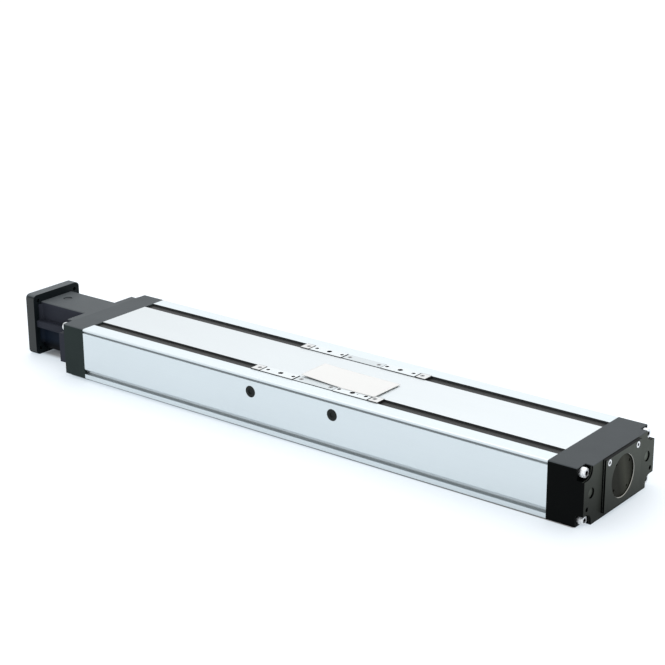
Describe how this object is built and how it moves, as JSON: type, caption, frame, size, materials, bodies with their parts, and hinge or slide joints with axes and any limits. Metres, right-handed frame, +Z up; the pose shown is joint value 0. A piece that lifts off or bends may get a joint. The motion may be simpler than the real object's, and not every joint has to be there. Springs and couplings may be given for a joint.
{
  "type": "ball screw linear module",
  "caption": "Compact ball screw linear module: silver extruded body, flat cover, two slotted mounting bars, black end blocks and a black motor mount.",
  "frame": {"origin": "middle of the profile's base face, in the plane that it is clamped down on", "axes": "X along the module from the motor end to the idle end, Y across it, Z up out of the cover"},
  "size_m": [0.848, 0.145, 0.08],
  "materials": {
    "clear_anodised": "satin clear anodised extrusion",
    "black_anodised": "matte black anodised, milled",
    "blackened_steel": "blackened, satin",
    "bare_aluminium": "fine milled",
    "strip_steel": "dark satin strip",
    "ground_steel": "ground",
    "zinc_screws": "zinc plated",
    "black_plastic": "moulded, matte",
    "black_rubber": "matte rubber",
    "red_elastomer": "satin elastomer"
  },
  "bodies": {
    "module": {"profile_body": "clear_anodised", "top_cover": "clear_anodised", "sealing_strip_front": "strip_steel", "sealing_strip_rear": "strip_steel", "guide_rail_front": "ground_steel", "guide_rail_rear": "ground_steel", "guide_rail_screws": "zinc_screws", "drive_end_block": "black_anodised", "idle_end_block": "black_anodised", "end_block_screws": "zinc_screws", "cover_screws": "zinc_screws", "end_plate": "black_anodised", "bearing_cap": "blackened_steel", "fixed_bearing_outer_ring": "ground_steel", "bearing_retainer": "ground_steel", "floating_bearing_outer_ring": "ground_steel", "motor_mount": "black_anodised", "motor_mount_screws": "zinc_screws", "coupling_access_plug": "black_plastic", "port_plugs": "black_plastic", "end_buffers": "black_rubber"},
    "carriage": {"carriage": "bare_aluminium", "inset_plates": "bare_aluminium", "inset_screws": "zinc_screws", "strip_deflectors": "bare_aluminium", "deflector_screws": "zinc_screws", "runner_block_front_left": "ground_steel", "runner_block_front_right": "ground_steel", "runner_block_rear_left": "ground_steel", "runner_block_rear_right": "ground_steel", "runner_end_caps": "black_plastic", "runner_screws": "zinc_screws", "ball_nut": "ground_steel", "nut_screws": "zinc_screws"},
    "screw": {"ball_screw": "ground_steel", "fixed_bearing_inner_ring": "ground_steel", "shaft_lock_nut": "ground_steel", "floating_bearing_inner_ring": "ground_steel", "shaft_clip": "ground_steel", "coupling_hub_screw": "bare_aluminium", "coupling_hub_motor": "bare_aluminium", "coupling_spider": "red_elastomer", "coupling_set_screws": "zinc_screws"}
  },
  "joints": [
    {"name": "carriage_slide", "type": "slide", "parent": "module", "child": "carriage", "axis": [1, 0, 0], "range_m": [-0.246, 0.22], "deforming": ["sealing_strip_front", "sealing_strip_rear"]},
    {"name": "screw_spin", "type": "hinge", "parent": "module", "child": "screw", "pos_m": [0, 0, 0.035], "axis": [1, 0, 0], "range_deg": [-3966, 4433]}
  ],
  "couplings": [
    {"joint": "screw_spin", "follows": "carriage_slide", "rad_per_m": -314.16}
  ]
}
